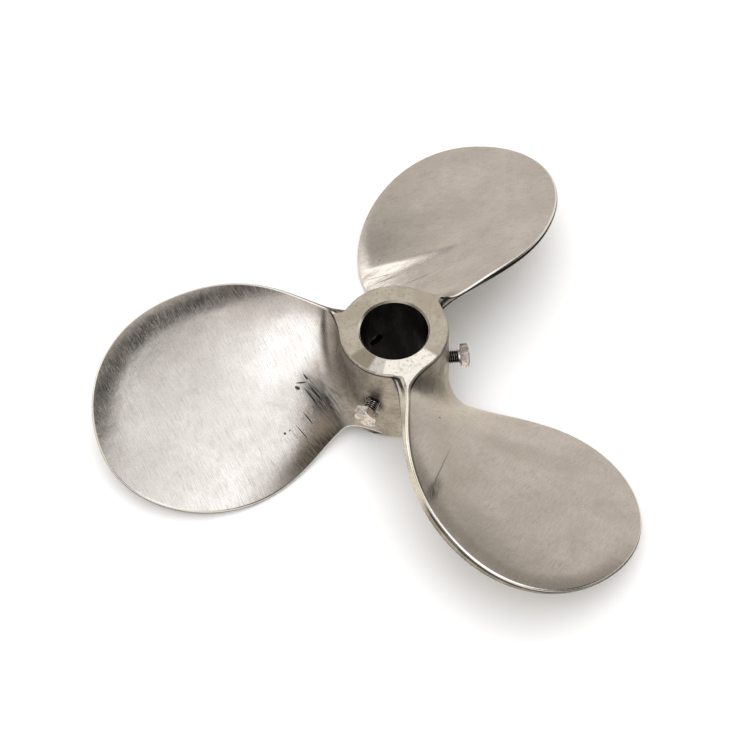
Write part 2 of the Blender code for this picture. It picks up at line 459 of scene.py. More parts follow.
def rim_rows(blade, outline):
    """Rows of (points, normals, place across the rim), from the upper face to the lower one."""
    inward = inward_steps(outline)
    middle = upper_face(blade, outline[:, 0], outline[:, 1], BLADE_THICKNESS / 2)
    inner = outline + inward * 0.1 * MM
    outward = unit(middle - upper_face(blade, inner[:, 0], inner[:, 1], BLADE_THICKNESS / 2))
    radius, flare = at_reach(outline[:, 0])
    relief = upper_relief(blade, outline[:, 0], radius, outline[:, 1])
    rows = []
    arcs = ((upper_face, UPPER_ROUNDING, 1), (lower_face, LOWER_ROUNDING, -1))
    for face, rounding, sign in arcs:
        arc = []
        for k in range(ARC_STEPS + 1):
            turn = math.pi / 2 * k / ARC_STEPS
            across = rounding * (1 - math.sin(turn))
            place = outline + inward * across
            depth = rounding * (1 - math.cos(turn))
            points = face(blade, place[:, 0], place[:, 1], depth)
            flat = surface_normals(face, blade, place[:, 0], place[:, 1], sign)
            rim = across - depth if sign > 0 else depth - across - BLADE_THICKNESS
            arc.append((points, unit(flat * math.cos(turn) + outward * math.sin(turn)), rim))
        rows.append(arc)
    upper, lower = rows
    highest = UPPER_ROUNDING + relief - flare
    lowest = thickness(blade, radius, outline[:, 1]) + lower_flare(flare, outline[:, 1]) - LOWER_ROUNDING
    edge = []
    for k in range(1, EDGE_STEPS):
        share = k / EDGE_STEPS
        points = blade_point(radius, outline[:, 1], highest * (1 - share) + lowest * share)
        rim = -UPPER_ROUNDING * (1 - share) - (BLADE_THICKNESS - LOWER_ROUNDING) * share
        edge.append((points, outward, rim))
    return upper + edge + lower[::-1]


def planar(points):
    """(reach, angle) pairs laid out flat for triangulation."""
    return np.column_stack((points[:, 0] * np.cos(points[:, 1]), points[:, 0] * np.sin(points[:, 1])))


def from_planar(points):
    return np.hypot(points[:, 0], points[:, 1]), np.arctan2(points[:, 1], points[:, 0])


def add_blade(shell, blade):
    """A blade with its fillets, open where it meets the wall. Returns that opening's loop."""
    outline = blade_outline(blade["trailing_flare"] * MM)
    blade["outline"] = outline
    turn = np.array(Matrix.Rotation(math.radians(blade["azimuth"]), 3, "Z"))
    rim = []
    for points, normals, place in rim_rows(blade, outline):
        rim.append(shell.add_points(points @ turn.T, normals @ turn.T, place))
    for first, second in zip(rim, rim[1:]):
        shell.add_band(first, second)
    roots = {}
    inward = inward_steps(outline)
    faces = ((upper_face, UPPER_ROUNDING, 1, rim[0]), (lower_face, LOWER_ROUNDING, -1, rim[-1]))
    for face, rounding, sign, border in faces:
        inset = outline + inward * rounding
        span = inset[-1, 1] - inset[0, 1]
        count = int(span * np.hypot(CLIMB, HUB_RADIUS) / WALL_STEP)
        angles = inset[-1, 1] - span * np.arange(1, count) / count
        root = np.column_stack((np.full(count - 1, ROOT_REACH), angles))
        inset[[0, -1], 0] = ROOT_REACH

        def lift(points):
            reach, angle = points
            normals = surface_normals(face, blade, reach, angle, sign)
            rims = sign * rim_distance(outline, reach, angle) - (sign < 0) * BLADE_THICKNESS
            return face(blade, reach, angle) @ turn.T, normals @ turn.T, rims

        root_points = shell.add_points(*lift((root[:, 0], root[:, 1])))
        roots[sign] = root_points[::-1]
        loop = planar(np.vstack((inset, root)))
        shell.add_patch([border, root_points], [loop], FACE_STEP, lambda grid: lift(from_planar(grid)))
    leading = [row[0] for row in rim]
    trailing = [row[-1] for row in rim]
    return np.concatenate((roots[1], trailing, roots[-1][::-1], leading[::-1]))


# Hub

def on_cylinder(radius, angle, height):
    return np.stack((radius * np.cos(angle), radius * np.sin(angle), height), axis=-1)


def radial(angle, sign=1):
    return sign * np.stack((np.cos(angle), np.sin(angle), np.zeros_like(angle)), axis=-1)


def unrolled(shell, indices, radius, centre):
    """Points of the shell on a cylinder, laid out flat around a centre angle."""
    points = np.array([shell.points[i] for i in indices])
    angle = np.arctan2(points[:, 1], points[:, 0]) - centre
    angle = (angle + math.pi) % (2 * math.pi) - math.pi
    return np.column_stack((radius * angle, points[:, 2]))


def add_hole_ring(shell, azimuth, radius, hole_radius):
    """A ring of points where a radial hole meets a cylinder about the bore's axis."""
    turn = np.linspace(0, 2 * math.pi, HOLE_SIDES, endpoint=False)
    angle = math.radians(azimuth) + np.arcsin(hole_radius * np.cos(turn) / radius)
    points = on_cylinder(radius, angle, SCREW_HEIGHT + hole_radius * np.sin(turn))
    return shell.add_points(points, radial(angle))


def join_sectors(shell, radius, seams, heights, centres, openings, sign, zone, step):
    """Fill the three sectors of a cylinder wall between its seams, around its openings."""
    ends = {}
    columns = [shell.add_points(on_cylinder(radius, seam, heights), radial(seam, sign)) for seam in seams]
    for k, centre in enumerate(centres):
        left, right = columns[k], columns[(k + 1) % len(columns)]
        rows = []
        for place in (0, -1):
            start, end = unrolled(shell, [left[place], right[place]], radius, centre)[:, 0]
            count = int(round((end - start) / step))
            angle = centre + np.linspace(start, end, count + 1)[1:-1] / radius
            height = np.full(len(angle), heights[place])
            rows.append(shell.add_points(on_cylinder(radius, angle, height), radial(angle, sign)))
        ends[k] = (np.concatenate(([left[0]], rows[0])), np.concatenate(([left[-1]], rows[1])))
        border = np.concatenate((left, rows[1], right[::-1], rows[0][::-1]))
        indices = [border] + openings[k]
        loops = [unrolled(shell, loop, radius, centre) for loop in indices]

        def lift(grid):
            angle = centre + grid[:, 0] / radius
            return on_cylinder(radius, angle, grid[:, 1]), radial(angle, sign)

        shell.add_patch(indices, loops, step, lift, zone)
    return [np.concatenate([ends[k][side] for k in range(len(centres))]) for side in (0, 1)]


def build_wall(shell, footprints):
    """The hub's wall between the blades' roots, longer than the hub at both ends."""
    heights = np.arange(-WALL_OVERRUN, HUB_LENGTH + WALL_OVERRUN, WALL_STEP)
    seams = [math.radians(blade["azimuth"] + SEAM_TURN) - heights / CLIMB for blade in BLADES]
    centres = [math.radians(blade["azimuth"] + CENTRE_TURN) for blade in BLADES]
    mouth = TAPPED_HOLE_RADIUS + HOLE_COUNTERSINK
    rings = [add_hole_ring(shell, blade["hole"], HUB_RADIUS, mouth) for blade in BLADES]
    openings = [[footprint, ring] for footprint, ring in zip(footprints, rings)]
    join_sectors(shell, HUB_RADIUS, seams, heights, centres, openings, 1, SKIN, WALL_STEP)
    return rings


def build_bore(shell):
    """The bore's wall and, from its holes' rings, the ends that its chamfers start from."""
    heights = np.linspace(BORE_CHAMFER, HUB_LENGTH - BORE_CHAMFER, BORE_ROWS)
    centres = [math.radians(blade["hole"]) for blade in BLADES]
    seams = [np.full(len(heights), centre - math.pi / 3) for centre in centres]
    rings = [add_hole_ring(shell, blade["hole"], BORE_RADIUS, TAPPED_HOLE_RADIUS) for blade in BLADES]
    openings = [[ring] for ring in rings]
    ends = join_sectors(shell, BORE_RADIUS, seams, heights, centres, openings, -1, BORE, WALL_STEP)
    mouths = []
    for end, height in zip(ends, (0.0, HUB_LENGTH)):
        points = np.array([shell.points[i] for i in end])
        angle = np.arctan2(points[:, 1], points[:, 0])
        upright = np.tile((0.0, 0.0, 1.0 if height else -1.0), (len(angle), 1))
        circle = on_cylinder(BORE_RADIUS + BORE_CHAMFER, angle, np.full(len(angle), height))
        mouths.append(shell.add_points(circle, upright))
        shell.add_band(end, mouths[-1], MOUTH, closed=True)
    return rings, mouths


def build_holes(shell, outer_rings, inner_rings):
    for blade, outer, inner in zip(BLADES, outer_rings, inner_rings):
        neck = add_hole_ring(shell, blade["hole"], HUB_RADIUS - HOLE_COUNTERSINK, TAPPED_HOLE_RADIUS)
        shell.add_band(outer, neck, MOUTH, closed=True)
        shell.add_band(neck, inner, HOLE, closed=True)


def to_bmesh(shell):
    mesh = bpy.data.meshes.new("casting")
    mesh.from_pydata(shell.points, [], shell.faces)
    normal = mesh.attributes.new("skin_normal", "FLOAT_VECTOR", "POINT")
    normal.data.foreach_set("vector", np.array(shell.normals, np.float32).ravel())
    rim = mesh.attributes.new("rim", "FLOAT", "POINT")
    rim.data.foreach_set("value", np.array(shell.rims, np.float32))
    zone = mesh.attributes.new("zone", "INT", "FACE")
    zone.data.foreach_set("value", np.array(shell.zones, np.int32))
    bm = bmesh.new()
    bm.from_mesh(mesh)
    bpy.data.meshes.remove(mesh)
    return bm


def near_hub(bm):
    """The skin's elements close to the bore's axis, where the facing cuts reach."""
    zone = bm.faces.layers.int["zone"]
    reach = HUB_RADIUS + ROOT_FILLET
    faces = [f for f in bm.faces if f[zone] == SKIN and all(v.co.xy.length < reach for v in f.verts)]
    edges = {e for f in faces for e in f.edges}
    verts = {v for f in faces for v in f.verts}
    return list(verts) + list(edges) + faces


def round_rim(bm, height, up, rounding):
    """Bend the skin that lies within the rounding of a faced end onto a rolling ball's track."""
    layer = bm.verts.layers.float_vector["skin_normal"]
    axis = Vector((0, 0, up))
    for vert in bm.verts:
        if vert.co.xy.length > HUB_RADIUS + ROOT_FILLET or vert.co.xy.length < BORE_RADIUS + 2 * BORE_CHAMFER:
            continue
        below = up * (height - vert.co.z)
        normal = vert[layer].normalized()
        rise = normal.dot(axis)
        level = math.sqrt(max(1 - rise * rise, 0))
        start = rounding * (1 - rise)
        if below >= start or level < 0.05:
            continue
        share = 1 - max(below, 0) / start
        outward = (normal - axis * rise) / level
        contact = vert.co + (outward * rise - axis * level) * ((start - below) / level)
        turned = turn_between(normal, axis, share)
        vert.co = contact - normal * rounding + turned * rounding
        vert[layer] = turned


def turn_between(first, second, share):
    """The direction this share of the way round from one unit vector to another."""
    angle = first.angle(second)
    if angle < 1e-6:
        return first.copy()
    return (first * math.sin((1 - share) * angle) + second * math.sin(share * angle)) / math.sin(angle)


def border_loop(bm, height):
    """The open edges at a height, in order."""
    edges = [e for e in bm.edges if e.is_boundary and all(abs(v.co.z - height) < 0.01 * MM for v in e.verts)]
    edges = [e for e in edges if e.verts[0].co.xy.length > BORE_RADIUS + 2 * BORE_CHAMFER]
    following = {}
    for edge in edges:
        for vert in edge.verts:
            following.setdefault(vert, []).append(edge)
    start = edges[0].verts[0]
    loop, edge = [start], following[start][0]
    while True:
        vert = edge.other_vert(loop[-1])
        if vert is start:
            return loop
        loop.append(vert)
        edge = next(e for e in following[vert] if e is not edge)


def close_end(bm, height, up, mouth):
    """The flat faced end, between the skin's rim and the bore's mouth."""
    layer = bm.verts.layers.float_vector["skin_normal"]
    zone = bm.faces.layers.int["zone"]
    rim = border_loop(bm, height)
    known = rim + mouth
    loops = [np.array([v.co.xy for v in loop]) for loop in (rim, mouth)]
    grid, triangles = triangulate(loops, WALL_STEP)
    for x, y in grid:
        vert = bm.verts.new((x, y, height))
        vert[layer] = (0, 0, up)
        known.append(vert)
    for triangle in triangles:
        face = bm.faces.new([known[i] for i in triangle])
        face[zone] = FACED


def face_ends(bm, mouths):
    """Cut the skin at the hub's two ends, round its rims and close the ends."""
    ends = ((0.0, -1, BOTTOM_ROUNDING, mouths[0]), (HUB_LENGTH, 1, TOP_ROUNDING, mouths[1]))
    for height, up, rounding, mouth in ends:
        for k in range(ROUNDING_ROWS, -1, -1):
            level = height - up * rounding * (1 - math.cos(math.pi / 2 * k / ROUNDING_ROWS))
            bmesh.ops.bisect_plane(bm, geom=near_hub(bm), dist=0.02 * MM, plane_co=(0, 0, level),
                                   plane_no=(0, 0, up), use_snap_center=True, clear_outer=k == 0)
        round_rim(bm, height, up, rounding)
        close_end(bm, height, up, mouth)


def values_of(items, name, size=1, kind=np.float32):
    """One property of a mesh's items as an array, one row for each item."""
    values = np.zeros(len(items) * size, kind)
    items.foreach_get(name, values)
    return values.reshape(-1, size) if size > 1 else values


def corner_normals(mesh, skin_normals, zones):
    """A normal for each face corner: the skin's own, or the shape's own in a machined zone."""
    corners = values_of(mesh.loops, "vertex_index", kind=np.int32)
    totals = values_of(mesh.polygons, "loop_total", kind=np.int32)
    flat = np.repeat(values_of(mesh.polygons, "normal", 3), totals, axis=0)
    zone = np.repeat(zones, totals)
    points = values_of(mesh.vertices, "co", 3)[corners]
    normals = skin_normals.astype(float)[corners]
    bore = zone == BORE
    normals[bore] = -unit(points[bore] * (1, 1, 0))
    machined = (zone == FACED) | (zone == MOUTH)
    normals[machined] = flat[machined]
    for blade in BLADES:
        azimuth = math.radians(blade["hole"])
        axis = np.array((math.cos(azimuth), math.sin(azimuth), 0))
        offset = points - (0, 0, SCREW_HEIGHT)
        along = offset @ axis
        across = offset - np.outer(along, axis)
        near_axis = np.linalg.norm(across, axis=1) < 2 * TAPPED_HOLE_RADIUS
        hole = (zone == HOLE) & (along > 0) & near_axis
        normals[hole] = -unit(across[hole])
    return unit(normals)


def blade_places(points):
    """Each point's x and y on its nearest blade, seen from above, and that blade's number."""
    azimuth = np.degrees(np.arctan2(points[:, 1], points[:, 0]))
    apart = [np.abs((azimuth - blade["azimuth"] + 180) % 360 - 180) for blade in BLADES]
    nearest = np.argmin(apart, axis=0)
    turn = np.radians([blade["azimuth"] for blade in BLADES])[nearest]
    x = points[:, 0] * np.cos(turn) + points[:, 1] * np.sin(turn)
    y = points[:, 1] * np.cos(turn) - points[:, 0] * np.sin(turn)
    return np.column_stack((x, y, nearest))


def cast_mesh():
    """The casting's skin, bore, holes and ends as one closed mesh."""
    shell = Shell()
    footprints = [add_blade(shell, blade) for blade in BLADES]
    outer_rings = build_wall(shell, footprints)
    inner_rings, mouths = build_bore(shell)
    build_holes(shell, outer_rings, inner_rings)
    bm = to_bmesh(shell)
    bm.verts.ensure_lookup_table()
    face_ends(bm, [[bm.verts[int(i)] for i in mouth] for mouth in mouths])
    loose = [v for v in bm.verts if not v.link_faces]
    bmesh.ops.delete(bm, geom=loose, context="VERTS")
    bmesh.ops.recalc_face_normals(bm, faces=bm.faces)
    if bm.calc_volume(signed=True) < 0:
        bmesh.ops.reverse_faces(bm, faces=bm.faces)
    mesh = bpy.data.meshes.new("cast_impeller")
    bm.to_mesh(mesh)
    bm.free()
    return mesh


def make_casting(skin, turned, greased_and_shaded):
    mesh = cast_mesh()
    skin_normals = values_of(mesh.attributes["skin_normal"].data, "vector", 3)
    zones = values_of(mesh.attributes["zone"].data, "value", kind=np.int32)
    mesh.shade_smooth()
    mesh.normals_split_custom_set(corner_normals(mesh, skin_normals, zones).tolist())
    places = blade_places(values_of(mesh.vertices, "co", 3))
    place = mesh.attributes.new("blade_place", "FLOAT_VECTOR", "POINT")
    place.data.foreach_set("vector", places.astype(np.float32).ravel())
    for material in (skin, turned, greased_and_shaded):
        mesh.materials.append(material)
    mesh.polygons.foreach_set("material_index", np.array(MATERIAL_OF_ZONE, np.int32)[zones])
    casting = bpy.data.objects.new("cast_impeller", mesh)
    bpy.context.scene.collection.objects.link(casting)
    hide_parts("impeller_casting")
    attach(casting, "impeller")


# Set screws, each along +Z in its own frame, with its head's bearing face at zero

def hexagon(inset):
    """A hexagon's outline with rounded corners, this far inside the head's flats."""
    flat = HEAD_ACROSS_FLATS / 2 - inset
    rounding = HEAD_ROUNDING
    centre = (flat - rounding) / math.cos(math.pi / 6)
    points = []
    for side in range(6):
        corner = math.pi / 3 * side
        for k in range(CORNER_STEPS + 1):
            turn = corner + math.pi / 3 * (k / CORNER_STEPS - 0.5)
            points.append((centre * math.cos(corner) + rounding * math.cos(turn),
                           centre * math.sin(corner) + rounding * math.sin(turn)))
        following = corner + math.pi / 3
        start = np.array(points[-1])
        end = np.array((centre * math.cos(following) + rounding * math.cos(corner + math.pi / 6),
                        centre * math.sin(following) + rounding * math.sin(corner + math.pi / 6)))
        points += [tuple(start + (end - start) * k / SIDE_STEPS) for k in range(1, SIDE_STEPS)]
    return np.array(points)


def ring_on(outline, radius):
    """The outline's points drawn in or out to a circle."""
    return unit(outline) * radius


def raised(outline, height):
    return np.column_stack((outline, np.broadcast_to(height, len(outline))))


def thread_rings(outline):
    """The threaded shank from its tip to the head, as rings of points."""
    turn = np.arctan2(outline[:, 1], outline[:, 0]) / (2 * math.pi)
    count = int(SHANK_LENGTH / THREAD_PITCH * THREAD_ROWS)
    rings = []
    for along in np.linspace(0, SHANK_LENGTH, count + 1):
        from_crest = np.abs((along / THREAD_PITCH - turn) % 1 - 0.5) * 2
        cut = THREAD_DEPTH * np.clip((1 - CREST_FLAT - from_crest) / (1 - CREST_FLAT - ROOT_FLAT), 0, 1)
        cut = cut * smooth_step((SHANK_LENGTH - along) / THREAD_RUNOUT - 0.3)
        cone = SHANK_RADIUS - SCREW_TIP_CHAMFER + along
        radius = np.minimum(SHANK_RADIUS - cut, cone)
        rings.append(raised(unit(outline) * radius[:, None], along - SHANK_LENGTH))
    return rings


def head_rings():
    """The head with its washer face, rounded edges and chamfer, up to the flat on its end."""
    def chamfered(outline):
        beyond = np.linalg.norm(outline, axis=1) - HEAD_CHAMFER_RADIUS
        return HEAD_HEIGHT - HEAD_CHAMFER_SLOPE * np.maximum(beyond, 0)

    flats = hexagon(0)
    rings = [
        raised(ring_on(flats, WASHER_FACE_RADIUS - 0.3 * HEAD_ROUNDING), 0),
        raised(ring_on(flats, WASHER_FACE_RADIUS), 0.3 * HEAD_ROUNDING),
        raised(ring_on(flats, WASHER_FACE_RADIUS), WASHER_FACE_HEIGHT),
    ]
    turns = [math.pi / 2 * k / 3 for k in range(4)]
    for turn in turns:
        outline = hexagon(HEAD_ROUNDING * (1 - math.sin(turn)))
        rings.append(raised(outline, WASHER_FACE_HEIGHT + HEAD_ROUNDING * (1 - math.cos(turn))))
    for turn in turns[::-1]:
        outline = hexagon(HEAD_ROUNDING * (1 - math.sin(turn)))
        rings.append(raised(outline, chamfered(outline) - HEAD_ROUNDING * (1 - math.cos(turn))))
    for radius in (1.0, 0.97, 0.5):
        rings.append(raised(ring_on(flats, HEAD_CHAMFER_RADIUS * radius), HEAD_HEIGHT))
    return rings


def worn(point):
    """A head's point moved a little, as by years of spanners."""
    strength = HEAD_WEAR * smooth_step(point.z / MM)
    return point + noise.noise_vector(point * WEAR_FREQUENCY) * float(strength)


def make_screw(place, azimuth, turn, material):
    bm = bmesh.new()
    own_place = bm.verts.layers.float_vector.new("screw_place")
    rings = thread_rings(hexagon(0)) + head_rings()
    rows = [[bm.verts.new(worn(Vector(point))) for point in ring] for ring in rings]
    for first, second in zip(rows, rows[1:]):
        for k in range(len(first)):
            after = (k + 1) % len(first)
            bm.faces.new((first[k], first[after], second[after], second[k]))
    for row, height in ((rows[0], -SHANK_LENGTH), (rows[-1], HEAD_HEIGHT)):
        middle = bm.verts.new((0, 0, height))
        for k in range(len(row)):
            bm.faces.new((row[k], row[(k + 1) % len(row)], middle))
    bmesh.ops.recalc_face_normals(bm, faces=bm.faces)
    for vert in bm.verts:
        vert[own_place] = (vert.co.xy.length, 0, vert.co.z)
    # A corner lies along local X, which this placement turns to point straight down
    placement = Matrix.Translation((0, 0, SCREW_HEIGHT)) @ Matrix.Rotation(math.radians(azimuth), 4, "Z")
    placement = placement @ Matrix.Rotation(math.pi / 2, 4, "Y")
    placement = placement @ Matrix.Rotation(math.radians(90 + turn), 4, "Z")
    placement = placement @ Matrix.Translation((0, 0, HEAD_UNDERSIDE_RADIUS))
    bmesh.ops.transform(bm, matrix=placement, verts=bm.verts)
    mesh = bpy.data.meshes.new(f"hex_screw_{place}")
    bm.to_mesh(mesh)
    bm.free()
    mesh.shade_smooth()
    mesh.set_sharp_from_angle(angle=math.radians(SHARP_ANGLE))
    mesh.materials.append(material)
    screw = bpy.data.objects.new(f"hex_screw_{place}", mesh)
    bpy.context.scene.collection.objects.link(screw)
    modifier = screw.modifiers.new("flat_faces", "WEIGHTED_NORMAL")
    modifier.keep_sharp = True
    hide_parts(f"set_screw_{place}")
    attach(screw, f"{place}_screw")


# Materials

class Graph:
    """The nodes of a material or a world, with short calls for the few kinds that are used here."""

    def __init__(self, owner):
        owner.use_nodes = True
        self.owner = owner
        self.tree = owner.node_tree

    def add(self, kind, settings=None, inputs=None):
        node = self.tree.nodes.new(kind)
        for key, value in (settings or {}).items():
            setattr(node, key, value)
        for key, value in (inputs or {}).items():
            self.feed(node.inputs[key], value)
        return node

    def feed(self, socket, value):
        if isinstance(value, bpy.types.NodeSocket):
            self.tree.links.new(value, socket)
        else:
            socket.default_value = value

    def set(self, **values):
        """Feed the shader's own sockets, named with underscores for spaces."""
        for key, value in values.items():
            self.feed(self.tree.nodes["Principled BSDF"].inputs[key.replace("_", " ")], value)

    def attribute(self, name, output="Vector"):
        return self.add("ShaderNodeAttribute", {"attribute_name": name}).outputs[output]

    def position(self):
        return self.add("ShaderNodeTexCoord").outputs["Object"]

    def axes(self, vector):
        return self.add("ShaderNodeSeparateXYZ", None, {0: vector}).outputs

    def math(self, operation, first, second=0.0):
        return self.add("ShaderNodeMath", {"operation": operation}, {0: first, 1: second}).outputs[0]

    def times(self, first, *others):
        for other in others:
            first = self.math("MULTIPLY", first, other)
        return first

    def length(self, vector):
        return self.add("ShaderNodeVectorMath", {"operation": "LENGTH"}, {0: vector}).outputs["Value"]

    def mapped(self, vector, location=(0, 0, 0), turn=0.0, scale=(1, 1, 1)):
        """The vector in a frame that lies at a location, turned about Z and stretched by scale."""
        return self.add("ShaderNodeMapping", {"vector_type": "TEXTURE"},
                        {"Vector": vector, "Location": location, "Scale": scale,
                         "Rotation": (0, 0, math.radians(turn))}).outputs[0]

    def from_bore(self, position):
        """How far a point is from the bore's axis: its height is squeezed until it doesn't count."""
        return self.length(self.mapped(position, scale=(1, 1, 1000)))

    def noise(self, vector, size=1.0, detail=2.0, roughness=0.5, distortion=0.0):
        """Noise from 0 to 1 whose blotches are about this size."""
        return self.add("ShaderNodeTexNoise", None,
                        {"Vector": vector, "Scale": 1 / size, "Detail": detail,
                         "Roughness": roughness, "Distortion": distortion}).outputs[0]

    def remap(self, value, low, high, to_low=0.0, to_high=1.0):
        return self.add("ShaderNodeMapRange", {"interpolation_type": "SMOOTHSTEP"},
                        {"Value": value, "From Min": low, "From Max": high,
                         "To Min": to_low, "To Max": to_high}).outputs[0]

    def band(self, value, start, full_from, full_to, end):
        """One between two values, falling to zero at the outer two."""
        return self.times(self.remap(value, start, full_from), self.remap(value, end, full_to))

    def blend(self, factor, first, second):
        """Mix two colours."""
        node = self.add("ShaderNodeMix", {"data_type": "RGBA"}, {"Factor": factor})
        for socket, colour in ((node.inputs[6], first), (node.inputs[7], second)):
            if not isinstance(colour, bpy.types.NodeSocket):
                colour = (*colour, 1)
            self.feed(socket, colour)
        return node.outputs[2]

    def coated(self, colour, coats):
        """The colour under coats, each with its share of the surface and its own colour."""
        for share, coat in coats:
            colour = self.blend(share, colour, coat)
        return colour

    def spot(self, place, layer, x, y, length, width, turn, softness):
        """One inside an ellipse on one blade, in millimetres, falling to zero outside it."""
        frame = self.mapped(place, (x * MM, y * MM, layer), turn, (length * MM, width * MM, 0.1))
        return self.remap(self.length(frame), 1 + softness, 1 - softness)

    def near(self, position, centre, reach):
        """One at a point in space, falling to zero at this reach from it."""
        return self.remap(self.length(self.mapped(position, centre)), reach, 0.45 * reach)

    def largest(self, values):
        result = values[0]
        for value in values[1:]:
            result = self.math("MAXIMUM", result, value)
        return result

    def spots(self, place, marks):
        return self.largest([self.spot(place, *mark) for mark in marks])

    def bumps(self, *layers):
        """Bumps on one another, each with a height and its depth in millimetres where that is 1."""
        normal = None
        for height, depth in layers:
            inputs = {"Height": height, "Distance": depth * MM, "Strength": 1.0}
            if normal:
                inputs["Normal"] = normal
            normal = self.add("ShaderNodeBump", None, inputs).outputs["Normal"]
        return normal


# Marks on the blades' upper faces: blade, x and y in millimetres, half length, half width,
# direction in degrees and softness. Layers count as the blades do: top, left and lower.
TOP, LEFT, LOWER = range(3)
POLISH_DIRECTION = 104
GRINDING_DIRECTION = 128
# Painted dark reflections on the upper faces: near the left blade's root and rim, and one on the lower blade
DARK_REFLECTION_PATCHES = (
    (LEFT, 48, 5, 9, 4.5, 118, 0.6),
    (LEFT, 41, 8, 9, 6, 100, 0.9),
    (LEFT, 54, 28, 20, 4.5, 28, 0.7),
    (LOWER, 83, -53, 7, 2.5, 115, 0.9),
)
SCARS_AND_PITS = (
    (LEFT, 57.2, 0.4, 1.3, 0.7, 150, 0.4),
    (LEFT, 54.5, -1.4, 2.6, 0.3, 172, 0.5),
    (LEFT, 51.5, -3.2, 1.4, 0.35, 120, 0.5),
    (LEFT, 50.5, 5.5, 4.5, 0.35, 125, 0.5),
    (LEFT, 47.5, 4.5, 4.5, 0.35, 125, 0.5),
    (LEFT, 55.0, 14.0, 3.0, 0.25, 125, 0.5),
    (LEFT, 60.0, 20.0, 3.5, 0.2, 125, 0.5),
    (LEFT, 70, 19, 0.55, 0.45, 0, 0.5),
    (LEFT, 67, 18, 0.3, 0.3, 0, 0.5),
    (LOWER, 50, -15, 0.5, 0.4, 0, 0.5),
    (TOP, 84, 33, 0.5, 0.4, 40, 0.5),
)
FAINT_LINES = (
    (LOWER, 76, -41.5, 16, 0.3, 116, 0.5),
    (TOP, 70, 25.5, 8.5, 0.35, 103, 0.5),
    (TOP, 65, 4, 9, 0.3, 103, 0.5),
    (TOP, 73, 30, 7, 0.3, 96, 0.5),
)
GROUND_PATCHES = (
    (TOP, 66, 10, 15, 30, 5, 0.35),
    (LEFT, 53, 22, 16, 22, 20, 0.5),
)
# Soft patches where both faces of the steel are a little darker
DARKER_PATCHES = (
    (TOP, 92, 34, 26, 12, 100, 0.9),
    (TOP, 112, 10, 22, 8, 95, 0.9),
    (LOWER, 74, -34, 34, 16, 130, 0.9),
    (LOWER, 112, -50, 26, 9, 170, 0.9),
    (LOWER, 88, 12, 22, 7, 30, 0.9),
)
# Edge faces that differ from the rest: one with painted shade, and one with a painted highlight
SHADED_EDGE = (TOP, 85, -55, 80, 34, 35, 0.2)
HIGHLIT_EDGE = (LOWER, 58, -38, 46, 17, 120, 0.3)


def mm(*values):
    return [value * MM for value in values]


# Bands by place across the rim, or by height: where each starts, is full, stays full to and ends
EDGE_FACE = mm(-6, -4.5, -1.8, -0.8)
# Painted highlight along the rounding of each blade's upper rim
RIM_HIGHLIGHT_BAND = mm(-0.6, -0.2, 0.5, 1.3)
# Painted shade: dark lines on each blade's edge face, under the upper rounding and above the lower one
RIM_SHADE_BANDS = (mm(-2.3, -1.9, -1.0, -0.5), mm(-5.1, -4.6, -4.1, -3.6))
# Painted highlight on the lower blade's leading edge face, and a painted shade line on the face beside it
EDGE_HIGHLIGHT_BAND = mm(-4.6, -4.2, 0.9, 1.3)
EDGE_SHADE_LINE_BAND = mm(1.1, 1.4, 1.9, 2.4)
# Painted shade: a dark line round the hub's wall just under the top face's rounding
TOP_SHADE_LINE = [HUB_LENGTH - below for below in mm(2.4, 1.9, 1.2, 0.7)]
# Ramps: where each starts and is full, across the rim or by distance from the bore's axis
UPPER_FACE_START = mm(-2.0, -1.0)
WALL_START = mm(46, 33)
TOP_SHADE_START = mm(46, 36)
# The skin is darker this far around each tapped hole
HOLE_DARKENING_REACH = 9 * MM


def hole_mouth(azimuth):
    """Where a tapped hole's axis leaves the hub's wall."""
    turn = math.radians(azimuth)
    return (HUB_RADIUS * math.cos(turn), HUB_RADIUS * math.sin(turn), SCREW_HEIGHT)


def skin_patterns(graph, place, position):
    """Noise patterns of the skin. Polishing and grinding marks run one way on each blade."""
    def strokes(direction, length, width, **settings):
        return graph.noise(graph.mapped(place, turn=direction, scale=(*mm(length, width), 1)), **settings)

    streaks = strokes(POLISH_DIRECTION, 7, 0.42, detail=3)
    scratches = graph.remap(strokes(POLISH_DIRECTION, 9, 0.2, detail=1), 0.62, 0.74)
    grinding = strokes(GRINDING_DIRECTION, 6, 0.8, detail=3, distortion=0.5)
    clouds = graph.noise(position, 30 * MM, 4, 0.6)
    stains = graph.noise(position, 9 * MM, 4, 0.65)
    grit = graph.noise(position, 0.9 * MM, 2)
    mottle = graph.noise(position, 1.8 * MM, 3, 0.6)
    return streaks, scratches, grinding, clouds, stains, grit, mottle


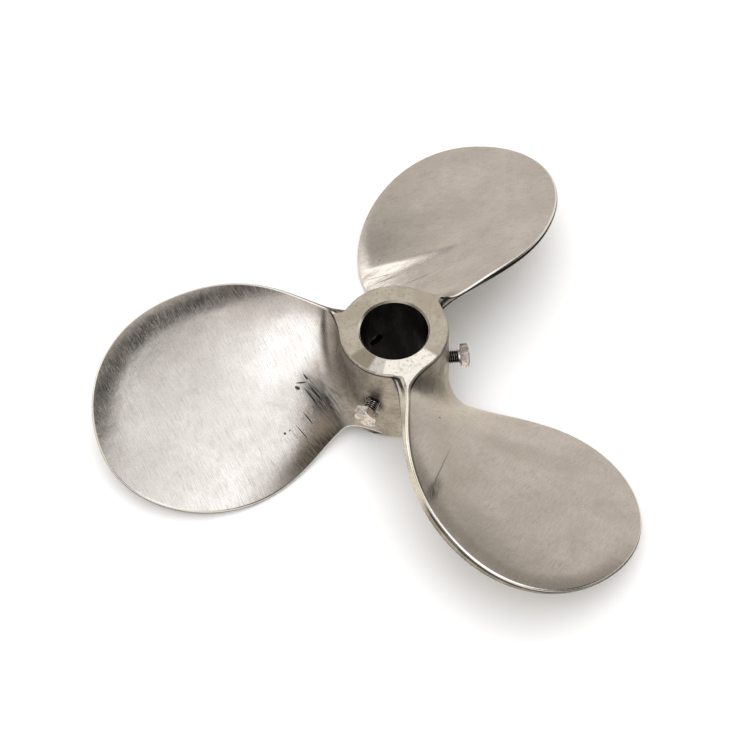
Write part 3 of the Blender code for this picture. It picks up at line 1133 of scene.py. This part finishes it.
def skin_masks(graph, place, position):
    """Where the skin differs, and where light and shade are painted on it. The wall keeps its cast skin, and
    so does the edge face outside the painted highlight.
    """
    rim = graph.attribute("rim", "Fac")
    radius = graph.from_bore(position)
    upper = graph.remap(rim, *UPPER_FACE_START)
    edge = graph.band(rim, *EDGE_FACE)
    highlit_edge = graph.spot(place, *HIGHLIT_EDGE)
    outside_highlit_edge = graph.math("SUBTRACT", 1.0, highlit_edge)
    wall = graph.remap(radius, *WALL_START)
    line = graph.band(graph.axes(position)[2], *TOP_SHADE_LINE)
    return {
        "ground": graph.times(upper, graph.spots(place, GROUND_PATCHES)),
        "dark": graph.times(upper, graph.spots(place, DARK_REFLECTION_PATCHES)),
        "marks": graph.times(upper, graph.spots(place, SCARS_AND_PITS)),
        "lines": graph.times(upper, graph.spots(place, FAINT_LINES)),
        "darker_tone": graph.spots(place, DARKER_PATCHES),
        "wall": wall,
        "polished": graph.math("SUBTRACT", 1.0, wall),
        "cast": graph.largest([wall, graph.times(edge, outside_highlit_edge)]),
        "painted_rim_highlight": graph.band(rim, *RIM_HIGHLIGHT_BAND),
        "painted_rim_shade": graph.times(graph.largest([graph.band(rim, *band) for band in RIM_SHADE_BANDS]), outside_highlit_edge),
        "near_holes": graph.largest([graph.near(position, hole_mouth(screw["azimuth"]), HOLE_DARKENING_REACH)
                               for screw in SCREWS]),
        "painted_edge_shade": graph.times(edge, graph.spot(place, *SHADED_EDGE)),
        "painted_edge_highlight": graph.times(highlit_edge, graph.band(rim, *EDGE_HIGHLIGHT_BAND)),
        "painted_edge_shade_line": graph.times(highlit_edge, graph.band(rim, *EDGE_SHADE_LINE_BAND)),
        "painted_top_shade_line": graph.times(line, graph.remap(radius, *TOP_SHADE_START)),
    }


def skin_steel():
    """The cast and hand-polished skin of the blades and the hub's wall."""
    graph = Graph(bpy.data.materials.new("polished_cast_steel"))
    remap, times = graph.remap, graph.times
    place = graph.attribute("blade_place")
    position = graph.position()
    mask = skin_masks(graph, place, position)
    streaks, scratches, grinding, clouds, stains, grit, mottle = skin_patterns(graph, place, position)

    def patchy(name, low, high, least, most=1.0):
        """A mask broken up by the stains."""
        return times(mask[name], remap(stains, low, high, least, most))

    colour = graph.blend(remap(clouds, 0.35, 0.7), (0.61, 0.565, 0.525), (0.71, 0.665, 0.625))
    colour = graph.coated(colour, (
        (times(mask["polished"], remap(streaks, 0.45, 0.75, 0, 0.5)), (0.42, 0.38, 0.34)),
        (times(scratches, 0.5), (0.25, 0.23, 0.21)),
        (times(mask["wall"], remap(mottle, 0.5, 0.68, 0, 0.6)), (0.22, 0.20, 0.16)),
        (times(mask["darker_tone"], 0.35), (0.40, 0.38, 0.33)),
        (remap(grit, 0.35, 0.65, 0, 0.2), (0.42, 0.38, 0.335)),
        (remap(stains, 0.52, 0.75, 0, 0.35), (0.40, 0.36, 0.30)),
        (patchy("cast", 0.3, 0.7, 0.2, 0.75), (0.30, 0.27, 0.22)),
        # Painted dark reflections, broken up by the grinding marks
        (times(mask["dark"], remap(grinding, 0.35, 0.65, 0.45, 0.98)), (0.12, 0.12, 0.12)),
        # Painted highlight along the upper rim's rounding
        (mask["painted_rim_highlight"], (0.95, 0.93, 0.90)),
        (times(mask["lines"], 0.6), (0.10, 0.095, 0.085)),
        (mask["marks"], (0.05, 0.05, 0.05)),
        (patchy("near_holes", 0.3, 0.6, 0.55), (0.03, 0.03, 0.028)),
        # Painted shade lines along the blades' edge faces
        (patchy("painted_rim_shade", 0.25, 0.5, 0.6), (0.05, 0.047, 0.04)),
        # Painted shade on one edge face of the top blade
        (times(mask["painted_edge_shade"], 0.9), (0.04, 0.038, 0.03)),
        # Painted highlight on the lower blade's leading edge face, with a painted shade line beside it
        (mask["painted_edge_highlight"], (0.90, 0.86, 0.74)),
        (times(mask["painted_edge_shade_line"], 0.6), (0.10, 0.09, 0.07)),
        # Painted shade line under the top face's rim
        (patchy("painted_top_shade_line", 0.2, 0.5, 0.5), (0.04, 0.04, 0.035)),
    ))
    roughness = remap(streaks, 0.25, 0.75, 0.17, 0.26)
    roughness = graph.math("ADD", roughness, times(mask["cast"], 0.16))
    roughness = graph.math("ADD", roughness, remap(clouds, 0.3, 0.7, 0.04, -0.02))
    normal = graph.bumps((clouds, 0.3), (streaks, 0.012), (scratches, -0.015),
                         (times(mask["ground"], grinding), 0.16),
                         (times(mask["cast"], grit), 0.06), (mask["marks"], -0.3))
    graph.set(Base_Color=colour, Metallic=1.0, Roughness=roughness, Normal=normal)
    return graph.owner


# Painted reflections on the hub's faces, light and dark wedges like those that turned rings reflect: from and
# to a direction in degrees, and their colour
FACE_REFLECTION_WEDGES = (
    (272, 338, (0.95, 0.92, 0.87)),
    (256, 272, (0.62, 0.61, 0.58)),
    (230, 256, (0.25, 0.22, 0.165)),
)
FACE_WEDGE_SOFTNESS = 2.5
# The bore's chamfer has a painted highlight at the front and painted shade at the back
CHAMFER_HIGHLIGHT_AND_SHADE = ((0.30, 0.265, 0.22), (0.98, 0.96, 0.94))


def wedge(graph, direction, start, end):
    """One between two directions in degrees."""
    soft = FACE_WEDGE_SOFTNESS
    limits = [math.radians(limit) for limit in (start - soft, start + soft, end - soft, end + soft)]
    return graph.band(direction, *limits)


def turned_steel():
    """The hub's faced ends and chamfers, with the tool's rings, painted reflections in wedges and a painted
    highlight and shade on the chamfer.
    """
    graph = Graph(bpy.data.materials.new("turned_steel"))
    position = graph.position()
    radius = graph.from_bore(position)
    rings = graph.noise(graph.add("ShaderNodeCombineXYZ", None, {"X": radius}).outputs[0], 0.8 * MM, 3)
    clouds = graph.noise(position, 12 * MM, 4, 0.65)
    mottle = graph.noise(position, 2.2 * MM, 3, 0.6)
    specks = graph.remap(graph.noise(position, 1.1 * MM, 2), 0.66, 0.74)
    axes = graph.axes(position)
    direction = graph.math("FLOORED_MODULO", graph.math("ARCTAN2", axes[1], axes[0]), 2 * math.pi)
    chamfer = graph.remap(radius, BORE_RADIUS + 1.15 * BORE_CHAMFER, BORE_RADIUS + 0.95 * BORE_CHAMFER)

    colour = graph.blend(graph.remap(clouds, 0.35, 0.65), (0.40, 0.355, 0.29), (0.50, 0.455, 0.385))
    # Painted reflections in wedges round the face
    wedges = [(wedge(graph, direction, *limits), shade) for *limits, shade in FACE_REFLECTION_WEDGES]
    colour = graph.coated(colour, wedges)
    colour = graph.coated(colour, (
        (graph.times(rings, 0.3), (0.36, 0.32, 0.26)),
        (graph.remap(mottle, 0.48, 0.7, 0, 0.5), (0.30, 0.27, 0.22)),
        (graph.times(specks, 0.7), (0.12, 0.11, 0.09)),
        # Painted highlight on the chamfer at the front, painted shade at the back
        (chamfer, graph.blend(graph.remap(axes[1], 9 * MM, -3 * MM), *CHAMFER_HIGHLIGHT_AND_SHADE)),
    ))
    normal = graph.bumps((rings, 0.02), (clouds, 0.15), (specks, -0.06))
    tangent = graph.add("ShaderNodeTangent", {"direction_type": "RADIAL", "axis": "Z"}).outputs[0]
    graph.set(Base_Color=colour, Metallic=1.0, Roughness=0.3, Anisotropic=0.6, Tangent=tangent, Normal=normal)
    return graph.owner


def bore_steel():
    """The bore and the tapped holes, nearly black with little reflection: old grease and painted shade."""
    graph = Graph(bpy.data.materials.new("greased_and_shaded_bore"))
    smears = graph.noise(graph.mapped(graph.position(), scale=(1, 1, 3)), 6 * MM, 4, 0.6)
    # Nearly black: old grease and painted shade
    colour = graph.blend(graph.remap(smears, 0.45, 0.7), (0.002, 0.002, 0.002), (0.012, 0.011, 0.010))
    roughness = graph.remap(smears, 0.4, 0.7, 0.5, 0.32)
    normal = graph.bumps((smears, 0.3))
    graph.set(Base_Color=colour, Metallic=0.0, Specular_IOR_Level=0.03, Roughness=roughness, Normal=normal)
    return graph.owner


def bolt_steel():
    """The set screws: bright worn heads, pitted and browned in places, and greasy threads with painted
    highlights on their crests and painted shade where they lie inside the hub.
    """
    graph = Graph(bpy.data.materials.new("weathered_bolt_steel"))
    position = graph.position()
    from_screw_axis, _, along_screw = graph.axes(graph.attribute("screw_place"))
    darker_tone = graph.noise(position, 4 * MM, 4, 0.6)
    pits = graph.remap(graph.noise(position, 1.0 * MM, 3, 0.6), 0.55, 0.7)
    shank = graph.remap(along_screw, 0.0, -0.1 * MM)
    crest_highlight = graph.remap(from_screw_axis, SHANK_RADIUS - 0.4 * THREAD_DEPTH, SHANK_RADIUS)
    hole_shade = graph.remap(graph.from_bore(position), HUB_RADIUS, HUB_RADIUS - 4 * MM)
    # Dark greasy threads with painted highlights on their crests
    thread = graph.blend(graph.times(crest_highlight, 0.8), (0.03, 0.03, 0.028), (0.85, 0.82, 0.77))
    colour = graph.blend(graph.remap(darker_tone, 0.4, 0.65), (0.90, 0.86, 0.82), (0.50, 0.465, 0.45))
    colour = graph.coated(colour, (
        (graph.times(pits, 0.75), (0.14, 0.11, 0.10)),
        (shank, thread),
        # Painted shade on the screw where it lies inside the hub
        (hole_shade, (0.01, 0.01, 0.01)),
    ))
    roughness = graph.remap(darker_tone, 0.3, 0.7, 0.14, 0.3)
    normal = graph.bumps((darker_tone, 0.25), (pits, -0.1))
    graph.set(Base_Color=colour, Metallic=1.0, Roughness=roughness, Normal=normal)
    return graph.owner


# Camera, floor and light

FLOOR_REACH = 25.0
FLOOR_COLOUR = (0.92, 0.92, 0.92)
FLOOR_ROUGHNESS = 0.9
FLOOR_LIGHT_SIZE = 3.0
FLOOR_LIGHT_HEIGHT = 2.5
FLOOR_LIGHT_POWER = 45
# The studio around the object: azimuth, elevation, inner and outer radius in degrees, brightness
STUDIO_WALLS = (0.79, 0.745, 0.69)
STUDIO_PANELS = (
    (0, -90, 62, 84, (0.84, 0.78, 0.68)),
    (0, 90, 22, 42, (1.00, 0.98, 0.96)),
    (4, 56, 7, 17, (1.25, 1.22, 1.18)),
    (170, 66, 18, 38, (1.14, 1.15, 1.17)),
    (150, 64, 9, 25, (1.56, 1.60, 1.65)),
    (-160, 41, 9, 24, (1.85, 1.90, 1.98)),
    (-63, 23, 9, 16, (1.90, 1.86, 1.82)),
    (-44, 27, 1, 12, (0.42, 0.40, 0.38)),
    (-80, 63, 8, 15, (0.0, 0.0, 0.0)),
    (-124, 12, 10, 20, (0.02, 0.02, 0.02)),
    (70, 44, 8, 26, (0.36, 0.33, 0.29)),
    (98, 36, 12, 26, (0.02, 0.02, 0.02)),
    (143, 14, 13, 29, (0.09, 0.09, 0.09)),
    (130, -14, 10, 28, (0.10, 0.10, 0.09)),
    (90, -28, 14, 32, (0.08, 0.08, 0.07)),
)


def make_camera():
    camera = bpy.data.objects.new("camera", bpy.data.cameras.new("camera"))
    camera.data.sensor_width = SENSOR_WIDTH
    camera.data.lens = LENS
    camera.data.clip_start = CLIP_START
    heading = Matrix.Rotation(math.radians(CAMERA_HEADING), 4, "Z")
    tilt = Matrix.Rotation(math.radians(CAMERA_TILT), 4, "X")
    roll = Matrix.Rotation(math.radians(CAMERA_ROLL), 4, "Z")
    camera.matrix_world = Matrix.Translation(CAMERA_POSITION) @ heading @ tilt @ roll
    bpy.context.scene.collection.objects.link(camera)
    bpy.context.scene.camera = camera


def make_floor(height):
    mesh = bpy.data.meshes.new("floor")
    corners = [(x * FLOOR_REACH, y * FLOOR_REACH, 0) for x, y in ((-1, -1), (1, -1), (1, 1), (-1, 1))]
    mesh.from_pydata(corners, [], [(0, 1, 2, 3)])
    floor = bpy.data.objects.new("floor", mesh)
    floor.location.z = height
    bpy.context.scene.collection.objects.link(floor)
    floor.visible_glossy = False
    graph = Graph(bpy.data.materials.new("floor"))
    graph.set(Base_Color=(*FLOOR_COLOUR, 1), Roughness=FLOOR_ROUGHNESS)
    mesh.materials.append(graph.owner)


def make_floor_light():
    """A wide lamp overhead that brightens the floor and doesn't show in the steel."""
    data = bpy.data.lights.new("floor_light", "AREA")
    data.size = FLOOR_LIGHT_SIZE
    data.energy = FLOOR_LIGHT_POWER
    light = bpy.data.objects.new("floor_light", data)
    light.location = (0, 0, FLOOR_LIGHT_HEIGHT)
    light.visible_glossy = False
    bpy.context.scene.collection.objects.link(light)


def studio_direction(azimuth, elevation):
    """A direction in the studio. Azimuth 0 lies behind the object as the camera sees it, 90 to its right."""
    azimuth, elevation = math.radians(azimuth - CAMERA_HEADING), math.radians(elevation)
    level = math.cos(elevation)
    return (math.sin(azimuth) * level, math.cos(azimuth) * level, math.sin(elevation))


def make_world():
    """Warm grey walls with soft round panels, light and dark, placed by direction."""
    graph = Graph(bpy.data.worlds.new("studio"))
    bpy.context.scene.world = graph.owner
    direction = graph.add("ShaderNodeTexCoord").outputs["Generated"]
    colour = STUDIO_WALLS
    for azimuth, elevation, inner, outer, shade in STUDIO_PANELS:
        towards = studio_direction(azimuth, elevation)
        closeness = graph.add("ShaderNodeVectorMath", {"operation": "DOT_PRODUCT"},
                              {0: direction, 1: towards}).outputs["Value"]
        inner, outer = math.cos(math.radians(inner)), math.cos(math.radians(outer))
        colour = graph.blend(graph.remap(closeness, outer, inner), colour, shade)
    graph.feed(graph.tree.nodes["Background"].inputs["Color"], colour)


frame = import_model()
frame_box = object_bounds()
make_casting(skin_steel(), turned_steel(), bore_steel())
screw_steel = bolt_steel()
for screw in SCREWS:
    make_screw(screw["place"], screw["azimuth"], screw["turn"], screw_steel)
make_camera()
make_floor(frame_box[0][2])
make_floor_light()
make_world()
bpy.context.scene.view_settings.view_transform = "Standard"
